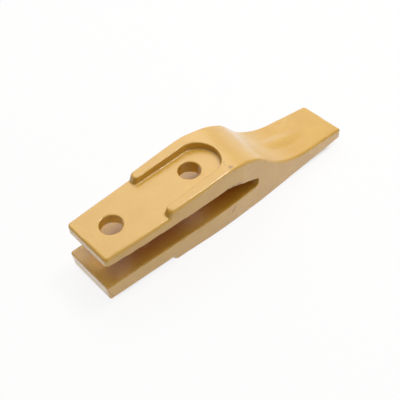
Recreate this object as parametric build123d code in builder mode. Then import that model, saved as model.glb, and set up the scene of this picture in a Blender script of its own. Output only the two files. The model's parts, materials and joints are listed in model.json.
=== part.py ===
"""A bolt-on bucket tooth: one steel casting with a forked rear end and a flat digging blade.

The two legs straddle the bucket's lip, and two bolts pass through both legs and the lip.
The origin is on the lip seat, which is the top face of the lower leg, midway between the
two bolt axes. +X points to the blade's edge, +Y to the tooth's left and +Z up.
"""

from build123d import *
import os
from math import cos, radians, sin, tan

os.makedirs("parts", exist_ok=True)

# Bolts and the lip slot
bolt_spacing = 89.0
bolt_hole_diameter = 21.0
lip_gap = 27.0
slot_end_past_bolt = 59.5
slot_end_height = 10.0
slot_taper_past_bolt = 20.5
slot_floor_corner_radius = 5.5
slot_roof_corner_radius = 2.0
slot_taper_radius = 40.0

# Upper leg, which thins towards its rear end
upper_leg_behind_bolt = 27.5
upper_leg_thickness = 11.6
upper_leg_slope = 1.8

# Lower leg, whose rear end leans forward towards its foot
lower_leg_behind_bolt = 30.7
lower_leg_thickness = 18.1
lower_end_lean = 2.0

# Raised pads round the bolt recesses, one on each leg
pad_behind_centre = 2.2
pad_end_slant = 1.8
upper_pad_height = 6.5
upper_pad_slope = 3.1
lower_pad_height = 5.8
recess_half_width = 20.8
recess_centre_past_bolt = 7.5
recess_draft = 3.0

# Hump, saddle and blade, seen from the side
flank_past_slot_end = 12.0
flank_height = 25.6
flank_slope = 43.0
hump_radius = 77.0
saddle_radius = 106.0
blade_past_slot_end = 129.8
blade_top_slope = 6.3
blade_tip_thickness = 13.2
blade_bottom_rise = 2.2
belly_past_slot_end = 1.0
belly_depth = 27.2
belly_radius = 400.0

# Outline seen from above
rear_width = 55.0
shoulder_width = 65.7
tip_width = 51.4
shoulder_past_bolt = 16.0
shoulder_radius = 480.0

# Centre rib on the blade
rib_past_slot_end = 39.5
rib_length = 50.0
rib_crest_radius = 13.0
rib_half_width = 10.0
rib_foot_height = 5.3
rib_slope = 14.5

# Rounded edges of the casting
leg_corner_radius = 4.0
tip_corner_radius = 4.0
pad_corner_radius = 3.5
upper_edge_radius = 2.0
upper_pad_foot_radius = 1.2
lower_edge_chamfer = 1.0
slot_edge_chamfer = 0.6

# Places along the tooth, worked out from the sizes above
rear_bolt = -bolt_spacing / 2
front_bolt = bolt_spacing / 2
upper_leg_end = rear_bolt - upper_leg_behind_bolt
lower_leg_end = rear_bolt - lower_leg_behind_bolt
slot_end = front_bolt + slot_end_past_bolt
taper_start = front_bolt + slot_taper_past_bolt
recess_centre = front_bolt + recess_centre_past_bolt
shoulder = front_bolt + shoulder_past_bolt
blade_tip = slot_end + blade_past_slot_end
pad_foot = -pad_behind_centre
pad_brow = pad_foot + pad_end_slant


def leg_top(x):
    """Height of the upper leg's top face, and of the recess floor in line with it."""
    return lip_gap + upper_leg_thickness + x * tan(radians(upper_leg_slope))


def crossing(a, a_slope, b, b_slope):
    """Where two sloping lines seen from the side meet; slopes rise towards the blade."""
    x = (b[1] - a[1] + a_slope * a[0] - b_slope * b[0]) / (a_slope - b_slope)
    return x, a[1] + a_slope * (x - a[0])


# Corners of the side view
pad_rear_top = (pad_brow, leg_top(pad_brow) + upper_pad_height)
flank_point = (slot_end + flank_past_slot_end, flank_height)
lower_face = -lower_leg_thickness
lower_pad_rear = (pad_brow, lower_face - lower_pad_height)
belly = (slot_end + belly_past_slot_end, -belly_depth)
tip_bottom = (blade_tip, -belly_depth + blade_bottom_rise)
tip_top = (blade_tip, tip_bottom[1] + blade_tip_thickness)
hump_corner = crossing(
    pad_rear_top, tan(radians(upper_pad_slope)), flank_point, -tan(radians(flank_slope))
)
saddle_corner = crossing(
    flank_point, -tan(radians(flank_slope)), tip_top, -tan(radians(blade_top_slope))
)

# The recess floors, and the plane across the rib's rear end
slope = radians(upper_leg_slope)
upper_floor = Plane(
    origin=(0, 0, leg_top(0)), x_dir=(cos(slope), 0, sin(slope)), z_dir=(-sin(slope), 0, cos(slope))
)
lower_floor = Plane(origin=(0, 0, lower_face), x_dir=(1, 0, 0), z_dir=(0, 0, -1))
recess_mouth = pad_foot - recess_half_width
fall = radians(rib_slope)
rib_plane = Plane(
    origin=(slot_end + rib_past_slot_end, 0, rib_foot_height),
    x_dir=(0, 1, 0),
    z_dir=(cos(fall), 0, -sin(fall)),
)
rib_drop = rib_crest_radius - (rib_crest_radius**2 - rib_half_width**2) ** 0.5

# The wall beside the recess at the pads' ends, and the corner radius that it leaves room for
side_rise = (shoulder_width - rear_width) / 2 / (shoulder - lower_leg_end)
pad_half_width = rear_width / 2 + side_rise * (pad_brow - lower_leg_end)
recess_brim = recess_half_width + upper_pad_height * tan(radians(recess_draft))
corner_share = 0.45
pad_corner = min(pad_corner_radius, corner_share * (pad_half_width - recess_brim))

# How near an edge lies to a face to count as on it, and the most that an upright face leans
near = 0.1
most_lean = 0.15


def in_slot(shape):
    """Whether a face or an edge is part of the slot."""
    box = shape.bounding_box()
    return box.min.Z > -near and box.max.Z < lip_gap + near and box.max.X < slot_end + near


def in_recess(face):
    """Whether a face is part of a bolt recess."""
    box = face.bounding_box()
    reach = max(box.max.Y, -box.min.Y)
    return reach < pad_half_width - pad_corner and box.min.X > pad_foot and box.max.X < slot_end


def side_edges(tooth, looks):
    """Edges round the tooth's upright faces that border a face for which looks is true."""
    upright = tooth.faces().filter_by(in_slot, reverse=True).filter_by(in_recess, reverse=True)
    upright = upright.filter_by(lambda face: abs(face.normal_at().Z) < most_lean)
    shared = upright.edges() & tooth.faces().filter_by(looks).edges()
    return shared.sort_by(Axis.Z).sort_by(Axis.Y).sort_by(Axis.X)


def looks_up(face):
    """Whether a face outside the slot leans back or lies face up."""
    return face.normal_at().Z > most_lean and not in_slot(face)


def looks_down(face):
    """Whether a face outside the slot leans over or lies face down."""
    return face.normal_at().Z < -most_lean and not in_slot(face)


def leg_corners(tooth):
    """The steep edges at the corners of the legs' rear ends."""
    ends = tooth.edges().filter_by_position(Axis.X, min(lower_leg_end, upper_leg_end), rear_bolt)
    return ends.filter_by(lambda edge: edge.bounding_box().size.Z > upper_leg_thickness / 2)


def pad_end_edges(tooth):
    """The steep edges that run up the ends of the pads."""
    ends = tooth.edges().filter_by_position(Axis.X, pad_foot, pad_brow)
    return ends.filter_by(lambda edge: edge.bounding_box().size.Z > lower_pad_height / 2)


def on_upper_leg(edge):
    """Whether an edge's middle lies on the upper leg's top face."""
    middle = edge @ 0.5
    return abs(middle.Z - leg_top(middle.X)) < near


with BuildPart() as bucket_tooth:
    # The side view, drawn clockwise from the upper leg's rear end
    with BuildSketch(Plane.XZ) as side_view:
        with BuildLine():
            FilletPolyline(
                (upper_leg_end, leg_top(upper_leg_end)),
                (pad_foot, leg_top(pad_foot)),
                pad_rear_top,
                hump_corner,
                saddle_corner,
                tip_top,
                tip_bottom,
                belly,
                lower_pad_rear,
                (pad_foot, lower_face),
                (lower_leg_end + lower_end_lean, lower_face),
                (lower_leg_end, 0),
                (lower_leg_end, lip_gap / 2),
                (upper_leg_end, lip_gap / 2),
                radius=[0, 0, 0, hump_radius, saddle_radius, 0, 0, belly_radius, 0, 0, 0, 0, 0, 0],
                close=True,
            )
        make_face()
        # The lip slot, open at the rear and pinched towards its round end
        with BuildLine():
            FilletPolyline(
                (lower_leg_end, 0),
                (slot_end, 0),
                (slot_end, slot_end_height),
                (taper_start, lip_gap),
                (lower_leg_end, lip_gap),
                radius=[
                    0, slot_floor_corner_radius, slot_roof_corner_radius, slot_taper_radius, 0
                ],
                close=True,
            )
        make_face(mode=Mode.SUBTRACT)
    extrude(amount=shoulder_width, both=True)

    # Seen from above the tooth widens to its shoulder and narrows to the blade's edge
    with BuildSketch(Plane.XY) as plan_view:
        with BuildLine():
            side_edge = FilletPolyline(
                (lower_leg_end, rear_width / 2),
                (shoulder, shoulder_width / 2),
                (blade_tip, tip_width / 2),
                radius=shoulder_radius,
            )
            mirror(side_edge, about=Plane.XZ)
            Line((blade_tip, tip_width / 2), (blade_tip, -tip_width / 2))
            Line((lower_leg_end, rear_width / 2), (lower_leg_end, -rear_width / 2))
        make_face()
    extrude(amount=2 * shoulder_width, both=True, mode=Mode.INTERSECT)

    # The centre rib: a rounded ridge that sinks into the blade towards the tip
    with BuildSketch(rib_plane) as rib_section:
        with BuildLine():
            crest = ThreePointArc((-rib_half_width, -rib_drop), (0, 0), (rib_half_width, -rib_drop))
            Line(crest @ 0, crest @ 1)
        make_face()
    extrude(amount=rib_length)

    # Corners of the blade's tip and of the legs, rounded as seen from above
    fillet(bucket_tooth.edges().filter_by(Axis.Z).group_by(Axis.X)[-1], tip_corner_radius)
    fillet(leg_corners(bucket_tooth), leg_corner_radius)

    # Bolt-head recesses in both pads, each with its floor in line with the leg behind it
    for floor in (upper_floor, lower_floor):
        with BuildSketch(floor):
            with BuildLine():
                near_wall = Line((recess_mouth, recess_half_width), (recess_centre, recess_half_width))
                round_end = ThreePointArc(
                    near_wall @ 1,
                    (recess_centre + recess_half_width, 0),
                    (recess_centre, -recess_half_width),
                )
                far_wall = Line(round_end @ 1, (recess_mouth, -recess_half_width))
                Line(far_wall @ 1, near_wall @ 0)
            make_face()
        extrude(amount=shoulder_width / 2, taper=-recess_draft, mode=Mode.SUBTRACT)

    # The pads' ends and the outlines, which take the pads' rims with them
    fillet(pad_end_edges(bucket_tooth), pad_corner)
    fillet(side_edges(bucket_tooth, looks_up), upper_edge_radius)
    chamfer(side_edges(bucket_tooth, looks_down), lower_edge_chamfer)

    # The upper pad's foot, where it rises from the leg and round the recess floor
    feet = bucket_tooth.edges().filter_by_position(Axis.X, pad_foot - near, slot_end)
    fillet(feet.filter_by(on_upper_leg), upper_pad_foot_radius)
    chamfer(side_edges(bucket_tooth, in_slot), slot_edge_chamfer)

    # Both bolt holes, straight down through both legs
    with BuildSketch(Plane.XY.offset(-shoulder_width)):
        with Locations((rear_bolt, 0), (front_bolt, 0)):
            Circle(bolt_hole_diameter / 2)
    extrude(amount=2 * shoulder_width, mode=Mode.SUBTRACT)

bucket_tooth.part.label = "bucket_tooth"
export_step(bucket_tooth.part, "parts/bucket_tooth.step")
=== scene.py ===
"""Looks of a bolt-on bucket tooth: its cast skin, its worn gold paint, the studio and the camera.

The casting is one closed surface, worked out with numpy from a distance field. The field is
negative inside the metal and rises to zero at the skin. Shapes are in millimetres in the part's
own frame: the origin is on the lip seat midway between the bolts, +X points to the blade's edge
and +Z up. Meshes are put into the scene in metres.
"""

import json
import logging
import math
from dataclasses import dataclass, field
from enum import Enum
from itertools import product

import bpy
import numpy as np
from mathutils import Matrix, Vector

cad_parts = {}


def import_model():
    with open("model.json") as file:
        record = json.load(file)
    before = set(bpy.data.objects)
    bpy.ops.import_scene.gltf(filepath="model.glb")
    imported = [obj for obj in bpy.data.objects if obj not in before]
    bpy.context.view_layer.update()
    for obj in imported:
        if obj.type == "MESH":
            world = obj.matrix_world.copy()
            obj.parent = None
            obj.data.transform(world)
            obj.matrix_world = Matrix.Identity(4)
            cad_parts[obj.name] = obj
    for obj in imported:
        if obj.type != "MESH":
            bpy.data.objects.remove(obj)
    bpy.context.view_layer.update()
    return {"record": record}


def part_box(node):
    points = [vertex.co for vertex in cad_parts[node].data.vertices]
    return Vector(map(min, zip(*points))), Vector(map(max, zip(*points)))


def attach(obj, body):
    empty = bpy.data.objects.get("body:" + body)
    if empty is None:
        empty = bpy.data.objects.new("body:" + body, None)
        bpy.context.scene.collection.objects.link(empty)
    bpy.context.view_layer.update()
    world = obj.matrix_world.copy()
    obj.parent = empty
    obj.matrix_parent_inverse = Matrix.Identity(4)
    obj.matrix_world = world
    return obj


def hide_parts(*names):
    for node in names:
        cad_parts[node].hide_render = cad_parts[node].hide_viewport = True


Array = np.ndarray
Span = tuple[float, float]
Triple = tuple[float, float, float]
Colour = tuple[float, float, float, float]
Socket = bpy.types.NodeSocket

MM = 0.001  # A millimetre in metres
FAR = 50.0  # A distance that stands for no metal nearby, in millimetres
LEAST_RADIUS = 0.01  # The smallest radius that is worked with, in millimetres
TINY = 1e-9  # Keeps a length from being zero
WHITE: Colour = (1.0, 1.0, 1.0, 1.0)
log = logging.getLogger("bucket_tooth")


class Side(Enum):
    """The two faces of the tooth that carry a pad."""

    UPPER = 1
    LOWER = -1


def meet(a: Array, b: Array, radius: Array | float) -> Array:
    """Keep what lies inside both shapes, with the edge where they cross rounded.

    Where both distances are above minus one radius, the value is the length of their vector,
    each counted from there, less the radius. Elsewhere it is the larger distance.

    Args:
        a: Distance to the first surface, negative inside.
        b: Distance to the second surface, negative inside.
        radius: Radius of the rounded edge.

    Returns:
        The distance to the combined surface.
    """
    near_edge = np.hypot(np.maximum(radius + a, 0.0), np.maximum(radius + b, 0.0))
    return np.minimum(-radius, np.maximum(a, b)) + near_edge


def join(a: Array, b: Array, radius: Array | float) -> Array:
    """Keep what lies inside either shape, with the inner corner between them filled.

    Args:
        a: Distance to the first surface, negative inside.
        b: Distance to the second surface, negative inside.
        radius: Radius of the fill.

    Returns:
        The distance to the combined surface.
    """
    return -meet(-a, -b, radius)


def fade(values: Array, low: float, high: float) -> Array:
    """Rise smoothly from 0 at low to 1 at high, by the cubic 3t^2 - 2t^3.

    Args:
        values: Places to read.
        low: Where the rise starts.
        high: Where the rise ends.

    Returns:
        A share from 0 to 1 for each place.
    """
    t = np.clip((values - low) / (high - low), 0.0, 1.0)
    return t * t * (3.0 - 2.0 * t)


def crossing(a: Span, a_slope: float, b: Span, b_slope: float) -> Span:
    """Find where two sloping lines meet: where the height between them is used up.

    Args:
        a: A point of the first line.
        a_slope: Rise of the first line over its run.
        b: A point of the second line.
        b_slope: Rise of the second line over its run.

    Returns:
        The meeting point.
    """
    x = (b[1] - a[1] + a_slope * a[0] - b_slope * b[0]) / (a_slope - b_slope)
    return x, a[1] + a_slope * (x - a[0])


@dataclass(frozen=True)
class RoundedLine:
    """A height over a distance: straight runs whose corners are tangent arcs.

    Attributes:
        corners: The line's corners, from low to high distance. The end runs go on past them.
        radii: The arc's radius at each corner between the first and the last.
    """

    corners: tuple[Span, ...]
    radii: tuple[float, ...]

    def read(self, x: Array) -> tuple[Array, Array]:
        """Give the height and the slope of the line.

        A run is a straight line. Near a corner, as far as the radius times the tangent of half
        the turn, the height is the centre's height plus or minus the root of the radius squared
        less the distance from the centre squared.

        Args:
            x: Distances along the line.

        Returns:
            The height and the slope at each distance.
        """
        points = np.array(self.corners)
        steps = np.diff(points, axis=0)
        slopes = steps[:, 1] / steps[:, 0]
        run = np.clip(np.searchsorted(points[1:-1, 0], x), 0, len(slopes) - 1)
        slope = slopes[run]
        height = points[run, 1] + slope * (x - points[run, 0])
        for i, radius in enumerate(self.radii):
            before = math.atan(slopes[i])
            after = math.atan(slopes[i + 1])
            bend = math.copysign(1.0, after - before)
            reach = radius * math.tan(abs(after - before) / 2)
            corner_x, corner_z = self.corners[i + 1]
            start_x = corner_x - reach * math.cos(before)
            end_x = corner_x + reach * math.cos(after)
            centre_x = start_x - bend * radius * math.sin(before)
            centre_z = corner_z - reach * math.sin(before) + bend * radius * math.cos(before)
            # Off the arc the root is only kept above zero
            drop = np.sqrt(np.maximum(radius**2 - (x - centre_x) ** 2, radius))
            on_arc = (x > start_x) & (x < end_x)
            height = np.where(on_arc, centre_z - bend * drop, height)
            slope = np.where(on_arc, bend * (x - centre_x) / drop, slope)
        return height, slope

    def above(self, x: Array, z: Array) -> Array:
        """Distance above the line: the height over it times the cosine of its slope."""
        height, slope = self.read(x)
        return (z - height) / np.sqrt(1.0 + slope**2)


@dataclass(frozen=True)
class Waves:
    """Smooth seeded unevenness: a sum of cosine waves in random directions.

    Attributes:
        seed: Seed of the random directions and phases.
        length: Middle wavelength in millimetres.
        count: How many waves are added.
        spread: Shortest and longest wavelength over the middle one.
    """

    seed: int
    length: float
    count: int = 14
    spread: Span = (0.6, 1.6)

    def read(self, x: Array, y: Array, z: Array) -> Array:
        """Add the cosines of each wave's phase, scaled so that the sum lies about -1 to 1.

        Args:
            x: Places along X.
            y: Places along Y.
            z: Places along Z.

        Returns:
            The unevenness at each place.
        """
        draws = np.random.default_rng(self.seed)
        ways = draws.normal(size=(self.count, 3))
        ways /= np.linalg.norm(ways, axis=1, keepdims=True)
        ways *= 2 * math.pi / (self.length * draws.uniform(*self.spread, size=(self.count, 1)))
        phases = draws.uniform(0.0, 2 * math.pi, self.count)
        total = np.zeros(np.broadcast(x, y, z).shape)
        for way, phase in zip(ways, phases):
            total = total + np.cos(way[0] * x + way[1] * y + way[2] * z + phase)
        return total / math.sqrt(2 * self.count)


@dataclass(frozen=True)
class Chip:
    """A small hollow knocked out of the skin.

    Attributes:
        place: Its middle on the skin, in millimetres.
        width: Its width across.
        depth: How far it goes into the metal.
        bare: How much of its paint is gone, from 0 to 1.
    """

    place: Triple
    width: float
    depth: float
    bare: float

    def spread(self, x: Array, y: Array, z: Array) -> Array:
        """Give the chip's share: the bell curve of the distance over the half width.

        Args:
            x: Places along X.
            y: Places along Y.
            z: Places along Z.

        Returns:
            The share at each place, 1 at the chip's middle.
        """
        px, py, pz = self.place
        away = (x - px) ** 2 + (y - py) ** 2 + (z - pz) ** 2
        return np.exp(-away / (0.5 * self.width) ** 2)


@dataclass(frozen=True)
class Outline:
    """The tooth seen from above, with its two ends.

    Attributes:
        half_width: Half width over the length.
        tip: Where the blade ends.
        upper_end: Where the upper leg ends.
        lower_end: Where the lower leg ends, at the lip seat's height.
        mid_slot: Height between the legs.
        end_lean: Tangent of the lower leg's end's lean, forward towards its foot.
        draft: Tangent of the legs' sides' lean below the lip seat.
        draft_end: Where along X the sides' lean starts to fade, and where it is gone.
        tip_skew: Tangent of the tip's turn, which sets its left corner back.
        tip_right: Where along Y the tip's turn starts.
        corner_radius: Radius of the corners seen from above.
        sharp_radius: Radius of the tip's right corner and of the lower leg's corners.
        tip_change: Where along Y the tip's radius changes.
        end_change: Where along Z the radius of the legs' ends changes.
    """

    half_width: RoundedLine
    tip: float
    upper_end: float
    lower_end: float
    mid_slot: float
    end_lean: float
    draft: float = 0.022
    draft_end: Span = (90.0, 115.0)
    tip_skew: float = 0.02
    tip_right: float = -25.0
    corner_radius: float = 4.0
    sharp_radius: float = 2.0
    tip_change: Span = (-10.0, 10.0)
    end_change: Span = (0.0, 20.0)

    def distance(self, x: Array, y: Array, z: Array) -> Array:
        """Distance to the upright faces, with rounded corners at the tip and the legs' ends.

        Args:
            x: Places along X.
            y: Places along Y.
            z: Places along Z.

        Returns:
            The distance, negative inside.
        """
        depth = np.maximum(-z, 0.0)
        lean = self.draft * depth * (1.0 - fade(x, *self.draft_end))
        sides = self.half_width.above(x, np.abs(y)) + lean
        end = np.where(z > self.mid_slot, self.upper_end, self.lower_end + self.end_lean * depth)
        tip = x - self.tip + self.tip_skew * np.maximum(y - self.tip_right, 0.0)
        softer = self.corner_radius - self.sharp_radius
        tip_radius = self.sharp_radius + softer * fade(y, *self.tip_change)
        end_radius = self.sharp_radius + softer * fade(z, *self.end_change)
        return meet(meet(sides, tip, tip_radius), end - x, end_radius)


@dataclass(frozen=True)
class Pad:
    """A raised pad on one leg, with a bolt-head recess that opens to the rear.

    Attributes:
        side: The face that carries it.
        floor: Height of the leg's face and of the recess floor over the length.
        face: Height of the pad's face, and of the rest of the tooth in front of it.
        foot: Where the pad's rear end meets the leg.
        slant: How far the rear end leans forward over the pad's height.
        height: How far the pad stands above the leg.
        recess_centre: Where the recess's round end has its centre.
        recess_half_width: Half width of the recess at its floor.
        draft: Tangent of the lean of the recess wall.
        edge_radius: Radius of the right outer edges.
        left_edge_radius: Radius of the left outer edges.
        end_skew: Tangent of the pad's rear end's turn, which sets its right horn back.
        flank_lead: How far the flank's left edge lies ahead of its right edge.
        flank_span: Where the lead starts, is whole, starts to fade and ends.
        flank_half_width: Half the width over which the lead grows.
        corner_radius: Radius of the pad's upright corners.
        rim_radius: Radius of the recess's rim.
        foot_radius: Radius of the pad's foot.
        rim_change: How much further inside the recess wall than the outline a place lies where
            the rim's radius starts to become the outer edges', and where it has.
        middle_change: Where, counted towards the right, the left edges' radius becomes the right's.
        foot_change: How far inside the outline the foot's fill starts, and where it is whole.
    """

    side: Side
    floor: RoundedLine
    face: RoundedLine
    foot: float
    slant: float
    height: float
    recess_centre: float
    recess_half_width: float
    draft: float
    edge_radius: float = 2.0
    left_edge_radius: float = 2.1
    end_skew: float = 0.0
    flank_lead: float = 0.0
    flank_span: tuple[float, float, float, float] = (60.0, 95.0, 108.0, 138.0)
    flank_half_width: float = 30.0
    corner_radius: float = 3.5
    rim_radius: float = 0.8
    foot_radius: float = 0.6
    rim_change: Span = (-1.5, 1.5)
    middle_change: Span = (-5.0, 5.0)
    foot_change: Span = (0.5, 4.0)

    def _read_at(self, x: Array, y: Array) -> Array:
        """Find where along X the face's height is read, for the flank's lead.

        It is behind x by the lead times the square of the share of the way from the right
        edge to the left edge.

        Args:
            x: Places along X.
            y: Places along Y.

        Returns:
            The places along X to read.
        """
        start, whole, waning, end = self.flank_span
        share = fade(x, start, whole) * (1.0 - fade(x, waning, end))
        width = 2 * self.flank_half_width
        way_left = np.clip(y + self.flank_half_width, 0.0, width) / width
        return x - self.flank_lead * share * way_left**2

    def distance(self, outline: Array, x: Array, y: Array, z: Array) -> Array:
        """Distance to this side of the tooth.

        The pad is the inside of the outline behind its face, in front of its slanted end and
        outside the recess. The leg is the inside of the outline behind the floor, and well
        behind the face in front of it. The two are joined with a filled foot, which fades out
        at the outline, where both have one surface.

        Args:
            outline: Distance to the upright faces.
            x: Places along X.
            y: Places along Y.
            z: Places along Z.

        Returns:
            The distance, negative inside.
        """
        way = self.side.value
        above_floor = way * self.floor.above(x, z)
        above_face = way * self.face.above(self._read_at(x, y), z)
        lean = self.slant / self.height
        end = (self.foot + self.end_skew * y + lean * above_floor - x) / math.hypot(1.0, lean)
        round_end = np.hypot(np.maximum(x - self.recess_centre, 0.0), y)
        recess_wall = self.recess_half_width + self.draft * above_floor - round_end
        walls = meet(meet(end, recess_wall, self.corner_radius), outline, self.corner_radius)
        outer = fade(outline - recess_wall, *self.rim_change)
        to_right = fade(-y, *self.middle_change)
        edge_radius = self.left_edge_radius + (self.edge_radius - self.left_edge_radius) * to_right
        pad = meet(walls, above_face, self.rim_radius + (edge_radius - self.rim_radius) * outer)
        leg = meet(outline, np.maximum(above_floor, above_face + self.height / 2), edge_radius)
        fill = self.foot_radius * fade(-outline, *self.foot_change)
        return join(pad, leg, np.maximum(fill, LEAST_RADIUS))


@dataclass(frozen=True)
class Slot:
    """The lip slot: open at the rear, level on its floor, pinched towards its round end.

    Attributes:
        roof: Height of the roof over the length.
        end: Where the end wall stands.
        floor_corner_radius: Radius of the corner between the floor and the end wall.
        roof_corner_radius: Radius of the corner between the end wall and the roof.
        edge_radius: Radius of the slot's outer edges.
    """

    roof: RoundedLine
    end: float
    floor_corner_radius: float = 5.5
    roof_corner_radius: float = 2.0
    edge_radius: float = 0.6

    def distance(self, x: Array, z: Array) -> Array:
        """Distance to the slot's walls, negative in the open slot."""
        below = meet(-z, x - self.end, self.floor_corner_radius)
        return meet(below, self.roof.above(x, z), self.roof_corner_radius)


@dataclass(frozen=True)
class Rib:
    """The soft ridge along the blade's middle, which sinks into the blade towards the tip.

    Attributes:
        rear: Where its height is given.
        rear_height: Height of its crest there.
        fall: Tangent of the crest's slope.
        crest_radius: Radius of its round back.
        foot_radius: Radius of its feet.
    """

    rear: float
    rear_height: float
    fall: float
    crest_radius: float = 13.0
    foot_radius: float = 2.0

    def distance(self, x: Array, y: Array, z: Array) -> Array:
        """Distance to the ridge: a sloping cylinder along the crest, with all below it filled.

        Args:
            x: Places along X.
            y: Places along Y.
            z: Places along Z.

        Returns:
            The distance, negative inside.
        """
        crest = self.rear_height - self.fall * (x - self.rear)
        centre = (crest - z) / math.hypot(1.0, self.fall) - self.crest_radius
        return np.hypot(y, np.minimum(centre, 0.0)) - self.crest_radius


@dataclass
class Casting:
    """The whole one-piece tooth as a distance field.

    Attributes:
        outline: Its upright faces.
        pads: Its upper and its lower side.
        slot: The lip slot.
        rib: The ridge on the blade.
        bolts: Where the two bolt axes stand along X.
        bolt_radius: Radius of the bolt holes.
        chips: The hollows in its skin.
        hole_edge_radius: Radius of the holes' edges.
        rib_edge_radius: Radius of the edge between the ridge and the upright faces.
        rib_lead: How far behind its rear the ridge is looked for.
        fullness: How much fuller the leg's right side is than drawn.
        fuller_from: Where along X the fullness starts, and where it is whole.
        fuller_to: Where along X the fullness starts to fade, and where it is gone.
        leanness: How much leaner the hump's left side is than drawn.
        leaner_from: Where along X the leanness starts, and where it is whole.
        leaner_to: Where along X the leanness starts to fade, and where it is gone.
        side_change: How far from the middle both start, and where they are whole.
        height_change: How high both start, and where they are whole.
        swell: The longest unevenness of the skin.
        ripple: Its middle unevenness.
        grain: Its shortest unevenness.
        swell_depth: Depth of the longest unevenness.
        ripple_depth: Depth of the middle unevenness.
        grain_depth: Depth of the shortest unevenness.
    """

    outline: Outline
    pads: tuple[Pad, Pad]
    slot: Slot
    rib: Rib
    bolts: Span
    bolt_radius: float
    chips: tuple[Chip, ...]
    hole_edge_radius: float = 0.35
    rib_edge_radius: float = 1.0
    rib_lead: float = 15.0
    fullness: float = 1.1
    fuller_from: Span = (-80.0, -25.0)
    fuller_to: Span = (60.0, 100.0)
    leanness: float = 1.4
    leaner_from: Span = (60.0, 80.0)
    leaner_to: Span = (95.0, 120.0)
    side_change: Span = (5.0, 20.0)
    height_change: Span = (4.0, 20.0)
    swell: Waves = Waves(seed=3, length=46.0)
    ripple: Waves = Waves(seed=8, length=15.0)
    grain: Waves = Waves(seed=21, length=5.0, count=20)
    swell_depth: float = 0.16
    ripple_depth: float = 0.07
    grain_depth: float = 0.03

    def form(self, x: Array, y: Array, z: Array) -> Array:
        """Distance to the smooth casting.

        Above the slot's lower part the leg's right side is a little fuller than drawn, so there
        the form is read nearer to its middle. The hump's left side is a little leaner, and is
        read further out.

        Args:
            x: Places along X.
            y: Places along Y.
            z: Places along Z.

        Returns:
            The distance, negative inside the metal.
        """
        fuller = self.fullness * fade(x, *self.fuller_from) * (1.0 - fade(x, *self.fuller_to))
        hump = fade(x, *self.leaner_from) * (1.0 - fade(x, *self.leaner_to))
        on_right = fuller * fade(-y, *self.side_change)
        on_left = self.leanness * hump * fade(y, *self.side_change)
        cast_y = y + (on_right + on_left) * fade(z, *self.height_change)
        outline = self.outline.distance(x, cast_y, z)
        upper, lower = (pad.distance(outline, x, cast_y, z) for pad in self.pads)
        ridge = meet(self.rib.distance(x, y, z), outline, self.rib_edge_radius)
        on_blade = np.where(x > self.rib.rear - self.rib_lead, ridge, FAR)
        solid = np.maximum(join(upper, on_blade, self.rib.foot_radius), lower)
        solid = meet(solid, -self.slot.distance(x, z), self.slot.edge_radius)
        for bolt in self.bolts:
            solid = meet(solid, self.bolt_radius - np.hypot(x - bolt, y), self.hole_edge_radius)
        return solid

    def relief(self, x: Array, y: Array, z: Array) -> Array:
        """Depth of the skin under the smooth casting: cast unevenness and chips.

        Args:
            x: Places along X.
            y: Places along Y.
            z: Places along Z.

        Returns:
            The depth, never below zero.
        """
        depth = 0.0
        layers = (self.swell, self.ripple, self.grain)
        for full, waves in zip((self.swell_depth, self.ripple_depth, self.grain_depth), layers):
            depth = depth + full * (1.0 + waves.read(x, y, z)) / 2
        for chip in self.chips:
            depth = depth + chip.depth * chip.spread(x, y, z)
        return np.maximum(depth, 0.0)

    def skin(self, points: Array) -> Array:
        """Distance to the finished skin at points of three columns."""
        x, y, z = points.T
        return self.form(x, y, z) + self.relief(x, y, z)


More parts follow.
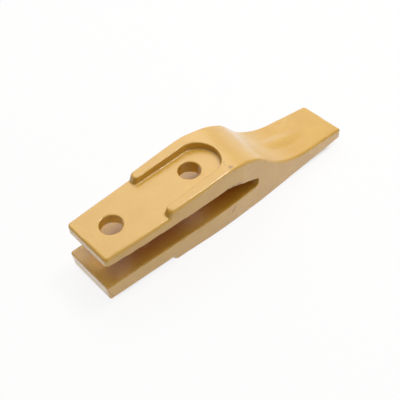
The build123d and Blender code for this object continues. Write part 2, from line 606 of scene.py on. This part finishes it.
@dataclass
class Net:
    """A closed mesh of four-sided faces spread over a field.

    One vertex lies in each cell of a grid that the surface passes through, and one face
    crosses each grid line that changes from inside to outside.

    Attributes:
        lows: The grid's lowest corner.
        highs: The grid's highest corner.
        pitch: The grid's spacing.
        reach: How far to each side of a point the field is read for its slope.
        least_square: The least square of the slope that is counted with.
        longest_move: The longest move of a point onto the skin.
        points: The places of the net's points, in millimetres.
        faces: Four point numbers for each face.
    """

    lows: Triple
    highs: Triple
    pitch: float
    reach: float = 0.15
    least_square: float = 0.1
    longest_move: float = 1.0
    points: Array = field(default=None, init=False)
    faces: Array = field(default=None, init=False)

    def cast(self, casting: Casting) -> None:
        """Fill the grid and find the net's points and faces.

        Args:
            casting: The field to cover.
        """
        pitch = self.pitch
        lines = [np.arange(low, high + pitch, pitch) for low, high in zip(self.lows, self.highs)]
        x, y, z = np.meshgrid(*lines, indexing="ij", sparse=True)
        values = casting.form(x, y, z)
        inside = values < 0
        count = np.zeros(tuple(n - 1 for n in values.shape), dtype=np.int8)
        for i, j, k in product((0, 1), repeat=3):
            count += inside[i : i + count.shape[0], j : j + count.shape[1], k : k + count.shape[2]]
        cells = np.argwhere((count > 0) & (count < 8))
        number = np.full(count.shape, -1, dtype=np.int32)
        number[tuple(cells.T)] = np.arange(len(cells))
        self.points = np.array(self.lows) + self.pitch * (cells + self._middle(values, cells))
        self.faces = np.concatenate([self._faces(inside, number, axis) for axis in range(3)])

    def _middle(self, values: Array, cells: Array) -> Array:
        """Find where the surface passes through each cell.

        It is the mean of the points where the cell's twelve edges cross the surface. How far
        along its edge each lies is the first end's value over the difference of both ends'.

        Args:
            values: The field on the grid.
            cells: Grid places of the cells' lowest corners.

        Returns:
            The place within each cell, from 0 to 1 along each axis.
        """
        total = np.zeros((len(cells), 3))
        hits = np.zeros(len(cells))
        for axis in range(3):
            for u, v in product((0, 1), repeat=2):
                start = np.insert(np.array([u, v]), axis, 0)
                end = np.insert(np.array([u, v]), axis, 1)
                a = values[tuple((cells + start).T)]
                b = values[tuple((cells + end).T)]
                crossed = (a < 0) != (b < 0)
                share = np.where(crossed, a / np.where(crossed, a - b, 1.0), 0.0)
                total += crossed[:, None] * (start + share[:, None] * (end - start))
                hits += crossed
        return total / hits[:, None]

    def _faces(self, inside: Array, number: Array, axis: int) -> Array:
        """Join the four cells round each grid line along one axis that the surface crosses.

        Args:
            inside: Whether each grid point lies inside the metal.
            number: The number of the point in each cell.
            axis: The axis, from 0 to 2.

        Returns:
            Four point numbers for each face, turned so that it looks outwards.
        """
        ahead = np.take(inside, range(1, inside.shape[axis]), axis)
        behind = np.take(inside, range(0, inside.shape[axis] - 1), axis)
        places = np.argwhere(ahead != behind)
        u = np.eye(3, dtype=int)[(axis + 1) % 3]
        v = np.eye(3, dtype=int)[(axis + 2) % 3]
        corners = [places - u - v, places - v, places, places - u]
        quads = np.stack([number[tuple(corner.T)] for corner in corners], axis=1)
        outwards = behind[tuple(places.T)]
        return np.where(outwards[:, None], quads, quads[:, ::-1])

    def settle(self, casting: Casting, even: int = 4, last: int = 3) -> None:
        """Spread the points evenly and bring them onto the skin.

        Each even round moves every point halfway to the mean of its neighbours, and then onto
        the skin. The last rounds only do the second.

        Args:
            casting: The field whose zero is the skin.
            even: How many rounds spread the points.
            last: How many more bring them onto the skin.
        """
        for turn in range(even + last):
            if turn < even:
                self.points += 0.5 * (self._neighbour_mean() - self.points)
            self.points -= self._move(casting)

    def _neighbour_mean(self) -> Array:
        """Find the mean place of each point's neighbours along the faces' edges.

        Returns:
            The mean places.
        """
        count = len(self.points)
        total = np.zeros(self.points.shape)
        hits = np.zeros(count)
        for corner in range(4):
            here = self.faces[:, corner]
            for other in (self.faces[:, (corner + 1) % 4], self.faces[:, corner - 1]):
                hits += np.bincount(here, minlength=count)
                for axis in range(3):
                    total[:, axis] += np.bincount(here, self.points[other, axis], count)
        return total / hits[:, None]

    def _move(self, casting: Casting) -> Array:
        """Find the move that brings each point onto the skin.

        It is the field's slope times the distance over the slope's square. The slope along each
        axis is the change of the field between the point's two sides over the way between them.

        Args:
            casting: The field whose zero is the skin.

        Returns:
            The move to take away from each point.
        """
        slope = np.empty(self.points.shape)
        for axis in range(3):
            aside = self.reach * np.eye(3)[axis]
            change = casting.skin(self.points + aside) - casting.skin(self.points - aside)
            slope[:, axis] = change / (2 * self.reach)
        square = np.maximum((slope**2).sum(axis=1), self.least_square)
        move = slope * (casting.skin(self.points) / square)[:, None]
        length = np.linalg.norm(move, axis=1, keepdims=True)
        return move * np.minimum(1.0, self.longest_move / np.maximum(length, TINY))

    def to_object(self, name: str, **marks: Array) -> bpy.types.Object:
        """Put the net into the scene in metres.

        Args:
            name: The object's name.
            **marks: Values for each point, kept as attributes of the mesh.

        Returns:
            The new object.
        """
        mesh = bpy.data.meshes.new(name)
        mesh.from_pydata(self.points * MM, [], self.faces.tolist())
        mesh.polygons.foreach_set("use_smooth", np.ones(len(self.faces), dtype=bool))
        for mark, values in marks.items():
            layer = mesh.attributes.new(mark, "FLOAT", "POINT")
            layer.data.foreach_set("value", values.astype(np.float32))
        mesh.update()
        piece = bpy.data.objects.new(name, mesh)
        bpy.context.scene.collection.objects.link(piece)
        return piece


class Nodes:
    """A short way to build the node tree of a material or of the world."""

    def __init__(self, owner: bpy.types.Material | bpy.types.World) -> None:
        """Start with an empty tree.

        Args:
            owner: The material or world that has the tree.
        """
        self.owner = owner
        owner.use_nodes = True
        self.tree = owner.node_tree
        self.tree.nodes.clear()

    def add(self, kind: str, inputs: dict | None = None, **settings: object) -> bpy.types.Node:
        """Add a node.

        Args:
            kind: The node's type.
            inputs: For each socket, a plain value or another node's output.
            **settings: Settings of the node itself.

        Returns:
            The new node.
        """
        node = self.tree.nodes.new(kind)
        for key, value in settings.items():
            setattr(node, key, value)
        for key, value in (inputs or {}).items():
            if isinstance(value, Socket):
                self.tree.links.new(value, node.inputs[key])
            else:
                node.inputs[key].default_value = value
        return node

    def math(self, operation: str, *values: object) -> Socket:
        """Work out one number from others.

        Args:
            operation: The operation's name.
            *values: Plain numbers or outputs, in order.

        Returns:
            The result's output.
        """
        node = self.add("ShaderNodeMath", dict(enumerate(values)), operation=operation)
        return node.outputs[0]

    def ramp(self, value: Socket, low: float, high: float) -> Socket:
        """Turn a value into a smooth share from 0 at low to 1 at high.

        Args:
            value: The value read.
            low: Where the share is 0.
            high: Where the share is 1.

        Returns:
            The share's output.
        """
        settings = {"Value": value, "From Min": low, "From Max": high}
        node = self.add("ShaderNodeMapRange", settings, interpolation_type="SMOOTHSTEP")
        return node.outputs["Result"]

    def blend(self, share: object, a: object, b: object) -> Socket:
        """Mix two colours.

        Args:
            share: Share of the second colour.
            a: The first colour or output.
            b: The second colour or output.

        Returns:
            The mixed colour's output.
        """
        # The node's colours are its sockets 6 and 7, and its output 2
        return self.add("ShaderNodeMix", {0: share, 6: a, 7: b}, data_type="RGBA").outputs[2]

    def noise(self, place: Socket, scale: float, detail: float = 3.0) -> Socket:
        """Read a noise pattern whose features are about 1/scale of a metre wide.

        Args:
            place: The coordinates.
            scale: The pattern's scale.
            detail: Its number of finer layers.

        Returns:
            The pattern's output, about 0.3 to 0.7.
        """
        inputs = {"Vector": place, "Scale": scale, "Detail": detail}
        return self.add("ShaderNodeTexNoise", inputs).outputs[0]


@dataclass(frozen=True)
class CastPaint:
    """Satin gold paint sprayed thinly over a rough casting.

    Attributes:
        gold: Colour of the paint on open faces.
        amber: Colour of thicker or duller patches.
        umber: Colour of dark specks in the paint.
        slot_shade_colour: Colour of the painted shade deep in the slot, a dark russet.
        bare: Colour of the metal and primer in chips.
        patch_scale: Scale of the patches.
        patch_range: Where in their pattern the patches start, and where they are whole.
        patch_share: How much amber they hold.
        speck_scale: Scale of the specks.
        speck_range: Where in their pattern the specks start, and where they are whole.
        speck_share: How much umber they hold.
        roughness: Middle roughness of the paint.
        roughness_scale: Scale at which the roughness varies.
        roughness_spread: How far it varies.
        chip_roughness: How much rougher the chips are.
        gloss_roughness: Roughness of the gloss.
        peel_scale: Scale of the paint's fine grain.
        pebble_scale: Scale of its coarse grain.
        pebble_height: Height of the coarse grain over the fine grain's.
        grit_scale: Scale of the sandy grain in the slot.
        grit_height: Height of the sandy grain over the fine grain's.
        bump_strength: Strength of the grain as a whole.
        bump_distance: Height of the grain as a whole, in metres.
    """

    gold: Colour = (0.70, 0.395, 0.045, 1.0)
    amber: Colour = (0.62, 0.31, 0.03, 1.0)
    umber: Colour = (0.22, 0.09, 0.02, 1.0)
    slot_shade_colour: Colour = (0.40, 0.13, 0.012, 1.0)
    bare: Colour = (0.10, 0.045, 0.03, 1.0)
    patch_scale: float = 38.0
    patch_range: Span = (0.38, 0.68)
    patch_share: float = 0.3
    speck_scale: float = 900.0
    speck_range: Span = (0.62, 0.78)
    speck_share: float = 0.2
    roughness: float = 0.42
    roughness_scale: float = 160.0
    roughness_spread: float = 0.22
    chip_roughness: float = 0.3
    gloss_roughness: float = 0.2
    peel_scale: float = 520.0
    pebble_scale: float = 150.0
    pebble_height: float = 2.2
    grit_scale: float = 650.0
    grit_height: float = 4.0
    bump_strength: float = 0.35
    bump_distance: float = 0.0004

    def material(self) -> bpy.types.Material:
        """Build the paint's node tree.

        Returns:
            The material.
        """
        nodes = Nodes(bpy.data.materials.new("cast_paint"))
        place = nodes.add("ShaderNodeTexCoord").outputs["Object"]
        chip, sand, deep = (
            nodes.add("ShaderNodeAttribute", attribute_name=mark).outputs["Fac"]
            for mark in ("chip", "sand", "deep")
        )
        patches = nodes.ramp(nodes.noise(place, self.patch_scale, detail=4.0), *self.patch_range)
        specks = nodes.ramp(nodes.noise(place, self.speck_scale, detail=2.0), *self.speck_range)
        patches = nodes.math("MULTIPLY", patches, self.patch_share)
        specks = nodes.math("MULTIPLY", specks, self.speck_share)
        colour = nodes.blend(patches, self.gold, self.amber)
        colour = nodes.blend(specks, colour, self.umber)
        # Painted shade: deeper inside the slot the paint turns to a dark russet
        colour = nodes.blend(deep, colour, self.slot_shade_colour)
        colour = nodes.blend(chip, colour, self.bare)
        least = self.roughness - self.roughness_spread / 2
        sheen = nodes.noise(place, self.roughness_scale)
        sheen = nodes.math("MULTIPLY_ADD", sheen, self.roughness_spread, least)
        sheen = nodes.math("MULTIPLY_ADD", chip, self.chip_roughness, sheen)
        peel = nodes.noise(place, self.peel_scale)
        pebble = nodes.noise(place, self.pebble_scale, detail=2.0)
        height = nodes.math("MULTIPLY_ADD", pebble, self.pebble_height, peel)
        grit = nodes.math("MULTIPLY", nodes.noise(place, self.grit_scale, detail=2.0), sand)
        height = nodes.math("MULTIPLY_ADD", grit, self.grit_height, height)
        inputs = {"Height": height, "Strength": self.bump_strength, "Distance": self.bump_distance}
        bump = nodes.add("ShaderNodeBump", inputs)
        inputs = {
            "Base Color": colour,
            "Roughness": sheen,
            "Normal": bump.outputs[0],
            "Specular IOR Level": 0.5,
            "Coat Weight": 1.0,
            "Coat Roughness": self.gloss_roughness,
            "Coat Normal": bump.outputs[0],
        }
        shader = nodes.add("ShaderNodeBsdfPrincipled", inputs)
        nodes.add("ShaderNodeOutputMaterial", {"Surface": shader.outputs[0]})
        return nodes.owner


@dataclass
class BucketTooth:
    """The tooth: its field, its mesh and its finish.

    Sizes are in millimetres, slopes and drafts in degrees, and the pad's skew is a tangent.

    Attributes:
        bolts: Where the two bolt axes stand along X.
        bolt_radius: Radius of the bolt holes.
        lows: Lowest corner of the part's box.
        highs: Highest corner of the part's box.
    """

    bolts: Span
    bolt_radius: float
    lows: Triple
    highs: Triple
    # The lip slot
    lip_gap: float = 27.0
    slot_end: float = 104.0
    slot_end_height: float = 10.0
    slot_taper_start: float = 65.0
    slot_taper_radius: float = 40.0
    # The legs
    leg_height: float = 38.6
    leg_slope: float = 1.8
    upper_leg_end: float = -72.0
    lower_leg_end: float = -75.2
    lower_end_lean: float = 1.4
    lower_face: float = -18.1
    # The pads and their recesses
    pad_foot: float = -3.9
    pad_slant: float = 2.6
    pad_skew: float = 0.05
    upper_pad_height: float = 6.5
    upper_pad_slope: float = 3.1
    lower_pad_height: float = 5.8
    recess_centre: float = 55.0
    recess_half_width: float = 20.5
    recess_draft: float = 3.0
    upper_edge_radius: float = 3.1
    # The hump, the saddle, the blade and the belly, seen from the side
    flank_lead: float = 5.0
    flank_point: Span = (116.0, 25.6)
    flank_slope: float = 43.0
    hump_radius: float = 77.0
    saddle_radius: float = 106.0
    tip_height: float = -11.8
    blade_slope: float = 6.3
    belly: Span = (105.0, -27.2)
    belly_radius: float = 400.0
    tip_floor: float = -25.0
    # The outline seen from above
    rear_half_width: float = 27.5
    shoulder: Span = (60.5, 32.85)
    tip_half_width: float = 25.6
    shoulder_radius: float = 480.0
    # The rib
    rib_rear: float = 143.5
    rib_height: float = 5.3
    rib_slope: float = 14.5
    # The net, with its margin round the box in cells
    pitch: float = 1.0
    margin_cells: float = 2.5
    # How far from the slot's walls its sandy finish starts to fade, and where it is gone
    sand_reach: Span = (0.4, 1.4)
    # Painted shade in the slot: its strongest share, and how far inside the slot's mouth it starts
    # and is whole
    slot_shade_share: float = 0.75
    slot_shade_reach: Span = (3.0, 22.0)
    chips: tuple[Chip, ...] = (
        # A chip and pits on the hump's top and flank
        Chip((68.7, -28.4, 48.0), 3.6, 0.25, 0.75),
        Chip((70.8, -28.6, 47.9), 2.4, 0.15, 0.45),
        Chip((68.6, -19.6, 48.0), 1.7, 0.3, 0.6),
        Chip((66.5, -23.0, 48.1), 1.6, 0.3, 0.6),
        Chip((67.0, 19.6, 48.1), 1.6, 0.3, 0.5),
        Chip((129.0, 15.4, 14.4), 2.0, 0.3, 0.5),
        Chip((131.9, 14.2, 12.3), 1.8, 0.3, 0.5),
        Chip((188.5, 20.9, -6.8), 1.6, 0.2, 0.4),
        # Nicks along the slot's upper edge
        Chip((61.5, -32.8, 27.6), 3.0, 0.6, 0.6),
        Chip((65.0, -32.7, 28.4), 2.2, 0.4, 0.5),
        Chip((68.5, -32.6, 26.6), 3.0, 0.6, 0.5),
        Chip((72.0, -32.5, 25.6), 2.4, 0.5, 0.3),
        Chip((75.5, -32.3, 24.0), 3.4, 0.7, 0.7),
        Chip((79.0, -32.2, 22.2), 2.4, 0.5, 0.5),
        # Knocks below the hump's right edge
        Chip((89.1, -31.9, 34.8), 2.0, 0.3, 0.4),
        Chip((94.0, -31.7, 33.4), 1.8, 0.3, 0.3),
        Chip((111.4, -30.9, 26.4), 2.4, 0.4, 0.5),
        Chip((115.7, -30.7, 25.0), 2.0, 0.3, 0.4),
        # Dents in the lower leg's side
        Chip((71.8, -32.5, -6.0), 2.6, 0.4, 0.5),
        Chip((69.8, -32.6, -8.0), 2.8, 0.5, 0.7),
        Chip((68.3, -32.6, -10.0), 2.4, 0.4, 0.5),
        Chip((62.9, -32.7, -9.2), 2.6, 0.3, 0.4),
        # Small nicks along the lower leg's upper edge
        Chip((-37.0, -29.0, 0.0), 2.0, 0.5, 0.0),
        Chip((-29.0, -29.3, 0.0), 1.6, 0.4, 0.2),
        Chip((-12.0, -30.0, 0.0), 2.2, 0.5, 0.0),
        Chip((-2.0, -30.4, 0.0), 1.8, 0.4, 0.0),
        Chip((9.0, -30.8, 0.0), 2.4, 0.5, 0.1),
        Chip((24.0, -31.4, 0.0), 1.8, 0.4, 0.0),
        Chip((48.0, -32.3, 0.0), 2.2, 0.5, 0.0),
    )

    def casting(self) -> Casting:
        """Put the field together from the sizes.

        Returns:
            The casting.
        """
        leg_rise = math.tan(math.radians(self.leg_slope))
        pad_rise = math.tan(math.radians(self.upper_pad_slope))
        flank_rise = -math.tan(math.radians(self.flank_slope))
        blade_rise = -math.tan(math.radians(self.blade_slope))
        tip = self.highs[0]
        brow = self.pad_foot + self.pad_slant
        leg_brow = (brow, self.leg_height + brow * leg_rise)
        pad_brow = (brow, leg_brow[1] + self.upper_pad_height)
        hump = crossing(pad_brow, pad_rise, self.flank_point, flank_rise)
        saddle = crossing(self.flank_point, flank_rise, (tip, self.tip_height), blade_rise)
        top_line = (pad_brow, hump, saddle, (tip, self.tip_height))
        rear = (self.lower_leg_end, self.rear_half_width)
        front = (tip, self.tip_half_width)
        outline = Outline(
            half_width=RoundedLine((rear, self.shoulder, front), (self.shoulder_radius,)),
            tip=tip,
            upper_end=self.upper_leg_end,
            lower_end=self.lower_leg_end,
            mid_slot=self.lip_gap / 2,
            end_lean=-self.lower_end_lean / self.lower_face,
        )
        both_pads = {
            "foot": self.pad_foot,
            "slant": self.pad_slant,
            "recess_centre": self.recess_centre,
            "recess_half_width": self.recess_half_width,
            "draft": math.tan(math.radians(self.recess_draft)),
        }
        upper = Pad(
            side=Side.UPPER,
            floor=RoundedLine(((0.0, self.leg_height), leg_brow), ()),
            face=RoundedLine(top_line, (self.hump_radius, self.saddle_radius)),
            height=self.upper_pad_height,
            edge_radius=self.upper_edge_radius,
            end_skew=self.pad_skew,
            flank_lead=self.flank_lead,
            **both_pads,
        )
        lower_brow = (brow, self.lower_face - self.lower_pad_height)
        lower = Pad(
            side=Side.LOWER,
            floor=RoundedLine(((0.0, self.lower_face), (brow, self.lower_face)), ()),
            face=RoundedLine((lower_brow, self.belly, (tip, self.tip_floor)), (self.belly_radius,)),
            height=self.lower_pad_height,
            **both_pads,
        )
        roof = (
            (self.lower_leg_end, self.lip_gap),
            (self.slot_taper_start, self.lip_gap),
            (self.slot_end, self.slot_end_height),
        )
        slot = Slot(RoundedLine(roof, (self.slot_taper_radius,)), self.slot_end)
        rib = Rib(self.rib_rear, self.rib_height, math.tan(math.radians(self.rib_slope)))
        return Casting(outline, (upper, lower), slot, rib, self.bolts, self.bolt_radius, self.chips)

    def build(self, paint: CastPaint) -> bpy.types.Object:
        """Make the tooth's mesh, keep it inside the part's box and dress it.

        Args:
            paint: The finish.

        Returns:
            The finished piece.
        """
        casting = self.casting()
        margin = self.margin_cells * self.pitch
        lows = tuple(low - margin for low in self.lows)
        highs = tuple(high + margin for high in self.highs)
        net = Net(lows, highs, self.pitch)
        net.cast(casting)
        net.settle(casting)
        np.clip(net.points, self.lows, self.highs, out=net.points)
        x, y, z = net.points.T
        chip = np.zeros(len(net.points))
        for mark in casting.chips:
            chip = np.maximum(chip, mark.bare * mark.spread(x, y, z))
        sand = 1.0 - fade(np.abs(casting.slot.distance(x, z)), *self.sand_reach)
        # Painted shade: the slot's faces darken to russet with the distance inside its mouths
        inside = np.minimum(self.shoulder[1] - np.abs(y), x - self.lower_leg_end)
        deep = self.slot_shade_share * sand * fade(inside, *self.slot_shade_reach)
        piece = net.to_object("tooth_casting", chip=chip, sand=sand, deep=deep)
        piece.data.materials.append(paint.material())
        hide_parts("bucket_tooth")
        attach(piece, "root")
        log.info("tooth_casting: %d faces, %d points", len(net.faces), len(net.points))
        return piece


@dataclass(frozen=True)
class Lamp:
    """A soft square lamp that faces the tooth's middle.

    Attributes:
        name: Its name.
        towards: Direction from the tooth to the lamp.
        size: Its width in metres.
        power: Its power in watts.
        middle: The tooth's middle in metres.
        away: How far from there it hangs, in metres.
    """

    name: str
    towards: Triple
    size: float
    power: float
    middle: Triple = (0.08, 0.0, 0.0)
    away: float = 1.5

    def hang(self) -> None:
        """Put the lamp into the scene, where the camera doesn't see it."""
        light = bpy.data.lights.new(self.name, "AREA")
        light.size = self.size
        light.energy = self.power
        lamp = bpy.data.objects.new(self.name, light)
        lamp.visible_camera = False
        way = Vector(self.towards).normalized()
        turn = way.to_track_quat("Z", "Y").to_matrix().to_4x4()
        lamp.matrix_world = Matrix.Translation(Vector(self.middle) + self.away * way) @ turn
        bpy.context.scene.collection.objects.link(lamp)
        log.info("%s: %.1f W", self.name, self.power)


@dataclass(frozen=True)
class Studio:
    """The pale floor that the tooth rests on, soft lamps and a plain surround.

    Places are in metres. Each edge gives where its share starts, and where it is whole.

    Attributes:
        rest_point: A point of the belly that the tooth rests on, along X and Z.
        rest_slope: Slope of the plane that it rests on.
        floor_size: Width of the floor.
        floor_gap: How far under the tooth the floor lies.
        paper: Colour of the floor.
        painted_shade_colour: Colour of its patch of painted warm shade.
        shade_patch_middle: Middle of the painted shade patch along X and Y.
        open_white: How much of the open floor is plain white to the camera.
        shade_patch_middle: Middle of the warm patch along X and Y.
        shade_patch_radii: Its radii along X and Y.
        shade_patch_edge: Its edge, as the sum of the squares of the ways over the radii.
        shade_rear: Rear edge of the shade under the tooth.
        shade_front: Its front edge.
        shade_right: Its right edge.
        shade_left: Its left edge.
        shade_steps: Pairs along X, and how far in the left edge moves over each.
        tent_back: Direction of the tent's bright back.
        back_edge: Its edge, as the cosine of the angle from that direction.
        open_front: Brightness of the rest of the tent in gloss.
        tent_top: Direction of the light from above.
        top_edge: Its edge, as the cosine of the angle from that direction.
        side_light: Strength of the tent's light from the sides.
        top_light: Strength of its light from above.
        tent_colour: Colour of the tent's light.
        lamps: The lamps.
    """

    rest_point: Span = (0.105, -0.0272)
    rest_slope: float = -0.0313
    floor_size: float = 3.0
    floor_gap: float = 0.0001
    paper: Colour = (0.95, 0.92, 0.91, 1.0)
    painted_shade_colour: Colour = (0.60, 0.38, 0.21, 1.0)
    open_white: float = 0.88
    shade_patch_middle: Span = (-0.029, 0.027)
    shade_patch_radii: Span = (0.02, 0.03)
    shade_patch_edge: Span = (1.5, 0.6)
    shade_rear: Span = (-0.072, -0.056)
    shade_front: Span = (0.226, 0.212)
    shade_right: Span = (-0.027, -0.018)
    shade_left: Span = (0.058, 0.049)
    shade_steps: tuple[tuple[Span, float], ...] = (
        ((-0.01, 0.03), 0.028),
        ((-0.037, -0.052), 0.034),
    )
    tent_back: Triple = (0.45, 0.6, 0.66)
    back_edge: Span = (0.1, 0.65)
    open_front: float = 0.12
    tent_top: Triple = (0.15, 0.2, 0.97)
    top_edge: Span = (0.35, 0.95)
    side_light: float = 0.03
    top_light: float = 0.9
    tent_colour: Colour = (1.0, 0.99, 0.97, 1.0)
    lamps: tuple[Lamp, ...] = (
        Lamp("top_lamp", (0.38, -0.06, 0.92), 0.34, 7.5),
        Lamp("back_lamp", (0.35, 0.57, 0.74), 1.2, 6.0),
        Lamp("front_lamp", (0.1, -0.95, 0.25), 1.0, 2.6),
    )

    def floor(self) -> bpy.types.Object:
        """Lay the floor in the plane of the pad and the belly.

        Returns:
            The floor.
        """
        square = np.array([(-1.0, -1.0, 0.0), (1.0, -1.0, 0.0), (1.0, 1.0, 0.0), (-1.0, 1.0, 0.0)])
        corners = self.floor_size / 2 * square
        x0, z0 = self.rest_point
        corners[:, 2] = z0 - self.floor_gap + self.rest_slope * (corners[:, 0] - x0)
        mesh = bpy.data.meshes.new("studio_floor")
        mesh.from_pydata(corners, [], [(0, 1, 2, 3)])
        piece = bpy.data.objects.new("studio_floor", mesh)
        bpy.context.scene.collection.objects.link(piece)
        piece.data.materials.append(self.floor_material())
        log.info("studio_floor: %.1f m square", self.floor_size)
        return piece

    @staticmethod
    def seen_directly(nodes: Nodes) -> Socket:
        """Tell the rays that the camera, a gloss or a pane sends from all others.

        Args:
            nodes: The tree.

        Returns:
            1 for such a ray and 0 for others.
        """
        rays = nodes.add("ShaderNodeLightPath").outputs
        direct = nodes.math("MAXIMUM", rays["Is Camera Ray"], rays["Is Glossy Ray"])
        return nodes.math("MAXIMUM", direct, rays["Is Transmission Ray"])

    def painted_shade_patch(self, nodes: Nodes, along: Socket, across: Socket) -> Socket:
        """Mark the floor's patch of painted warm shade, an ellipse beside and under the rear hole.

        Args:
            nodes: The floor's tree.
            along: The place along X.
            across: The place along Y.

        Returns:
            The patch's share.
        """
        ways = zip((along, across), self.shade_patch_middle, self.shade_patch_radii)
        x, y = (
            nodes.math("DIVIDE", nodes.math("SUBTRACT", place, middle), radius)
            for place, middle, radius in ways
        )
        away = nodes.math("MULTIPLY_ADD", x, x, nodes.math("MULTIPLY", y, y))
        return nodes.ramp(away, *self.shade_patch_edge)

    def sheltered(self, nodes: Nodes, along: Socket, across: Socket) -> Socket:
        """Mark the floor under the tooth and close beside it, where it stays in shade.

        Args:
            nodes: The floor's tree.
            along: The place along X.
            across: The place along Y.

        Returns:
            The shade's share.
        """
        rear = nodes.ramp(along, *self.shade_rear)
        inside = nodes.math("MULTIPLY", rear, nodes.ramp(along, *self.shade_front))
        left = across
        for step, width in self.shade_steps:
            left = nodes.math("MULTIPLY_ADD", nodes.ramp(along, *step), width, left)
        right = nodes.ramp(across, *self.shade_right)
        between = nodes.math("MULTIPLY", right, nodes.ramp(left, *self.shade_left))
        return nodes.math("MULTIPLY", inside, between)

    def floor_material(self) -> bpy.types.Material:
        """Make white paper: lit by the lamps, with a small patch of painted warm shade, and in the
        open mostly plain white to the camera.

        Returns:
            The material.
        """
        nodes = Nodes(bpy.data.materials.new("white_paper"))
        place = nodes.add("ShaderNodeTexCoord").outputs["Object"]
        along, across = nodes.add("ShaderNodeSeparateXYZ", {0: place}).outputs[:2]
        shade = self.sheltered(nodes, along, across)
        # Painted shade: a warm brown patch on the paper beside and under the rear hole
        colour = nodes.blend(self.painted_shade_patch(nodes, along, across), self.paper, self.painted_shade_colour)
        paper = nodes.add("ShaderNodeBsdfDiffuse", {"Color": colour})
        white = nodes.add("ShaderNodeEmission", {"Color": WHITE, "Strength": 1.0})
        share = nodes.math("MULTIPLY", self.seen_directly(nodes), self.open_white)
        share = nodes.math("MULTIPLY", share, nodes.math("SUBTRACT", 1.0, shade))
        shaders = {0: share, 1: paper.outputs[0], 2: white.outputs[0]}
        mixed = nodes.add("ShaderNodeMixShader", shaders)
        nodes.add("ShaderNodeOutputMaterial", {"Surface": mixed.outputs[0]})
        return nodes.owner

    @staticmethod
    def facing(nodes: Nodes, way: Triple, edge: Span, dim: float, bright: float) -> Socket:
        """Light the tent by direction: dim away from one direction, bright towards it.

        Args:
            nodes: The world's tree.
            way: The direction.
            edge: Cosines of the angle from it at which the tent is still dim, and is bright.
            dim: Strength away from it.
            bright: Strength towards it.

        Returns:
            The strength's output.
        """
        seen = nodes.add("ShaderNodeTexCoord").outputs["Generated"]
        cosine = nodes.add("ShaderNodeVectorMath", {0: seen, 1: way}, operation="DOT_PRODUCT")
        share = nodes.ramp(cosine.outputs["Value"], *edge)
        return nodes.math("MULTIPLY_ADD", share, bright - dim, dim)

    def surround(self) -> None:
        """Set the world: a white light tent, open at the side from which the photograph is taken.

        To the camera it is plain white. Gloss sees it fade, along a fixed direction, from white
        at its back to grey at its open front. Its light comes from above.
        """
        world = bpy.data.worlds.new("studio_surround")
        bpy.context.scene.world = world
        nodes = Nodes(world)
        back = self.facing(nodes, self.tent_back, self.back_edge, self.open_front, 1.0)
        above = self.facing(nodes, self.tent_top, self.top_edge, self.side_light, self.top_light)
        camera = nodes.add("ShaderNodeLightPath").outputs["Is Camera Ray"]
        seen_white = nodes.math("MAXIMUM", back, camera)
        inputs = {"Color": self.tent_colour, "Strength": above}
        soft = nodes.add("ShaderNodeBackground", inputs)
        white = nodes.add("ShaderNodeBackground", {"Color": WHITE, "Strength": seen_white})
        seen = self.seen_directly(nodes)
        mixed = nodes.add("ShaderNodeMixShader", {0: seen, 1: soft.outputs[0], 2: white.outputs[0]})
        nodes.add("ShaderNodeOutputWorld", {"Surface": mixed.outputs[0]})

    def build(self) -> None:
        """Lay the floor, set the surround and hang the lamps."""
        self.floor()
        self.surround()
        for lamp in self.lamps:
            lamp.hang()


@dataclass(frozen=True)
class Camera:
    """The photograph's viewpoint.

    Attributes:
        place: Where the camera stands, in metres.
        azimuth: Direction of its view seen from above, from +X towards +Y, in degrees.
        elevation: How far it looks down, in degrees.
        roll: Turn about its own view, in degrees.
        lens: Focal length in millimetres.
        sensor: Width of the picture that the focal length is for, in millimetres.
    """

    place: Triple = (-0.2303, -0.3362, 0.4837)
    azimuth: float = 49.608
    elevation: float = 48.133
    roll: float = -2.446
    lens: float = 61.88
    sensor: float = 36.0

    def build(self) -> None:
        """Set up the camera from its view direction and its roll."""
        azimuth = math.radians(self.azimuth)
        elevation = math.radians(self.elevation)
        roll = math.radians(self.roll)
        flat = math.cos(elevation)
        view = Vector((flat * math.cos(azimuth), flat * math.sin(azimuth), -math.sin(elevation)))
        level = view.cross(Vector((0.0, 0.0, 1.0))).normalized()
        upright = level.cross(view)
        right = math.cos(roll) * level + math.sin(roll) * upright
        up = math.cos(roll) * upright - math.sin(roll) * level
        data = bpy.data.cameras.new("photo_camera")
        data.sensor_width = self.sensor
        data.lens = self.lens
        data.clip_start = 0.01
        camera = bpy.data.objects.new("photo_camera", data)
        turn = Matrix((right, up, -view)).transposed().to_4x4()
        camera.matrix_world = Matrix.Translation(Vector(self.place)) @ turn
        bpy.context.scene.collection.objects.link(camera)
        bpy.context.scene.camera = camera
        log.info("photo_camera: lens %.2f mm", self.lens)


def bolt_holes(record: dict) -> tuple[Span, float]:
    """Read the bolt holes from the part's mounts.

    Args:
        record: The part's record.

    Returns:
        The places of the two holes along X, and their radius, in millimetres.
    """
    bores = [mount for mount in record["mounts"] if mount["kind"] == "bore"]
    places = sorted(bore["pos_m"][0] / MM for bore in bores)
    return (places[0], places[1]), bores[0]["dims"]["r_mm"]


def main() -> None:
    logging.basicConfig(level=logging.INFO, format="%(name)s: %(message)s")
    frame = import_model()
    bolts, bolt_radius = bolt_holes(frame["record"])
    lows, highs = (tuple(value / MM for value in corner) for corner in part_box("bucket_tooth"))
    BucketTooth(bolts, bolt_radius, lows, highs).build(CastPaint())
    Studio().build()
    Camera().build()
    bpy.context.scene.view_settings.view_transform = "Standard"


if __name__ == "__main__":
    main()
